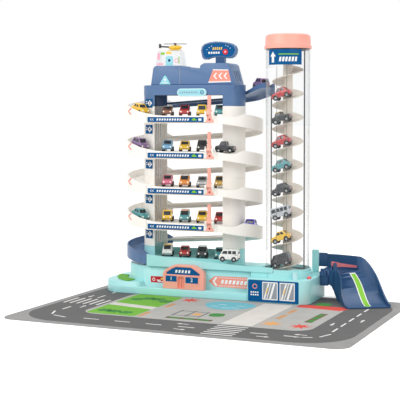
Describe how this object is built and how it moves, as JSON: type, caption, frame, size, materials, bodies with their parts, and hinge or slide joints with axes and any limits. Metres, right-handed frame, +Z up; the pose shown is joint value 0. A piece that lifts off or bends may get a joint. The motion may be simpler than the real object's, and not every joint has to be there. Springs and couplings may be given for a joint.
{
  "type": "toy parking garage",
  "caption": "Toy parking garage with storeys, a spiral car run, an auger lift in a clear tube, an exit ramp and a play mat.",
  "frame": {"origin": "centre of the play mat's underside, on the floor", "axes": "+X along the front towards the lift, +Y towards the back, +Z up"},
  "size_m": [0.6838, 0.5201, 0.5435],
  "materials": {
    "mat": "printed felt play mat",
    "cyan_plastic": "smooth moulded",
    "white_plastic": "smooth moulded",
    "blue_plastic": "smooth moulded",
    "sign_blue": "printed sign face",
    "coral_plastic": "smooth moulded",
    "green_plastic": "grassy grain",
    "clear_plastic": "clear moulded",
    "beige_plastic": "smooth moulded",
    "grey_plastic": "smooth moulded",
    "rod_steel": "drawn rod",
    "cell_metal": "drawn can",
    "yellow_plastic": "smooth moulded",
    "lens_yellow": "tinted lens",
    "lens_red": "tinted lens",
    "paint_black": "enamel",
    "paint_yellow": "enamel",
    "paint_silver": "enamel",
    "paint_teal": "enamel",
    "paint_red": "enamel"
  },
  "bodies": {
    "garage": {"play_mat": "mat", "garage_base": "cyan_plastic", "planter_lawn": "green_plastic", "service_hall": "coral_plastic", "lift_base": "cyan_plastic", "battery_cover": "cyan_plastic", "battery_1": "cell_metal", "battery_2": "cell_metal", "gear_plate": "grey_plastic", "lift_motor": "cell_metal", "storey_2": "white_plastic", "storey_3": "white_plastic", "storey_4": "white_plastic", "storey_5": "white_plastic", "ground_deck": "cyan_plastic", "left_curve_1": "blue_plastic", "left_curve_2": "white_plastic", "left_curve_3": "white_plastic", "left_curve_4": "white_plastic", "left_curve_5": "white_plastic", "right_curve_2": "white_plastic", "right_curve_3": "white_plastic", "right_curve_4": "white_plastic", "right_curve_5": "white_plastic", "back_run_2": "white_plastic", "back_run_3": "white_plastic", "back_run_4": "white_plastic", "back_run_5": "white_plastic", "back_run_top": "blue_plastic", "chute": "blue_plastic", "roof": "blue_plastic", "roof_sign": "sign_blue", "name_plate": "cyan_plastic", "cabin": "clear_plastic", "helicopter": "yellow_plastic", "lift_tube": "clear_plastic", "lift_cap": "coral_plastic", "lift_sign": "sign_blue", "guide_cage": "rod_steel", "lamp_left": "lens_yellow", "lamp_right": "lens_red", "exit_ramp": "blue_plastic"},
    "auger": {"auger": "beige_plastic", "auger_gear": "beige_plastic"},
    "pinion": {"motor_pinion": "beige_plastic"},
    "lift_cars": {"lift_car_1": "paint_black", "lift_car_2": "paint_yellow", "lift_car_3": "paint_silver", "lift_car_4": "paint_black", "lift_car_5": "paint_teal", "lift_car_6": "paint_red", "lift_car_7": "paint_black", "lift_car_8": "paint_red"},
    "boom_2": {"boom_2": "coral_plastic"},
    "boom_3": {"boom_3": "coral_plastic"},
    "boom_4": {"boom_4": "coral_plastic"},
    "boom_5": {"boom_5": "coral_plastic"},
    "exit_gate": {"exit_gate": "coral_plastic"},
    "start_button": {"start_button": "cyan_plastic"},
    "rotor": {"rotor": "grey_plastic"}
  },
  "joints": [
    {"name": "auger_spin", "type": "hinge", "parent": "garage", "child": "auger", "pos_m": [0.095, 0.18, 0.06], "axis": [0, 0, -1], "range_deg": [0, 360.5]},
    {"name": "cars_rise", "type": "slide", "parent": "garage", "child": "lift_cars", "axis": [0, 0, 1], "range_m": [0, 0.0485]},
    {"name": "pinion_spin", "type": "hinge", "parent": "garage", "child": "pinion", "pos_m": [0.0735, 0.2015, 0.04], "axis": [0, 0, 1], "range_deg": [0, 1081]},
    {"name": "boom_2_fold", "type": "hinge", "parent": "garage", "child": "boom_2", "pos_m": [-0.0575, 0.1288, 0.157], "axis": [-1, 0, 0], "range_deg": [0, 88]},
    {"name": "boom_3_fold", "type": "hinge", "parent": "garage", "child": "boom_3", "pos_m": [-0.0575, 0.1288, 0.232], "axis": [-1, 0, 0], "range_deg": [0, 88]},
    {"name": "boom_4_fold", "type": "hinge", "parent": "garage", "child": "boom_4", "pos_m": [-0.0575, 0.1288, 0.307], "axis": [-1, 0, 0], "range_deg": [0, 88]},
    {"name": "boom_5_fold", "type": "hinge", "parent": "garage", "child": "boom_5", "pos_m": [-0.0575, 0.1288, 0.382], "axis": [-1, 0, 0], "range_deg": [0, 88]},
    {"name": "gate_lift", "type": "hinge", "parent": "garage", "child": "exit_gate", "pos_m": [0.188, 0.202, 0.0745], "axis": [0.6884, -0.7254, 0], "range_deg": [0, 75]},
    {"name": "button_press", "type": "slide", "parent": "garage", "child": "start_button", "axis": [0, 0, -1], "range_m": [0, 0.003], "stiffness_N_per_m": 300},
    {"name": "rotor_spin", "type": "hinge", "parent": "garage", "child": "rotor", "pos_m": [-0.161, 0.193, 0.5312], "axis": [0, 0, 1], "continuous": true}
  ],
  "couplings": [
    {"joint": "auger_spin", "follows": "cars_rise", "rad_per_m": 129.55},
    {"joint": "pinion_spin", "follows": "cars_rise", "rad_per_m": 388.65}
  ]
}
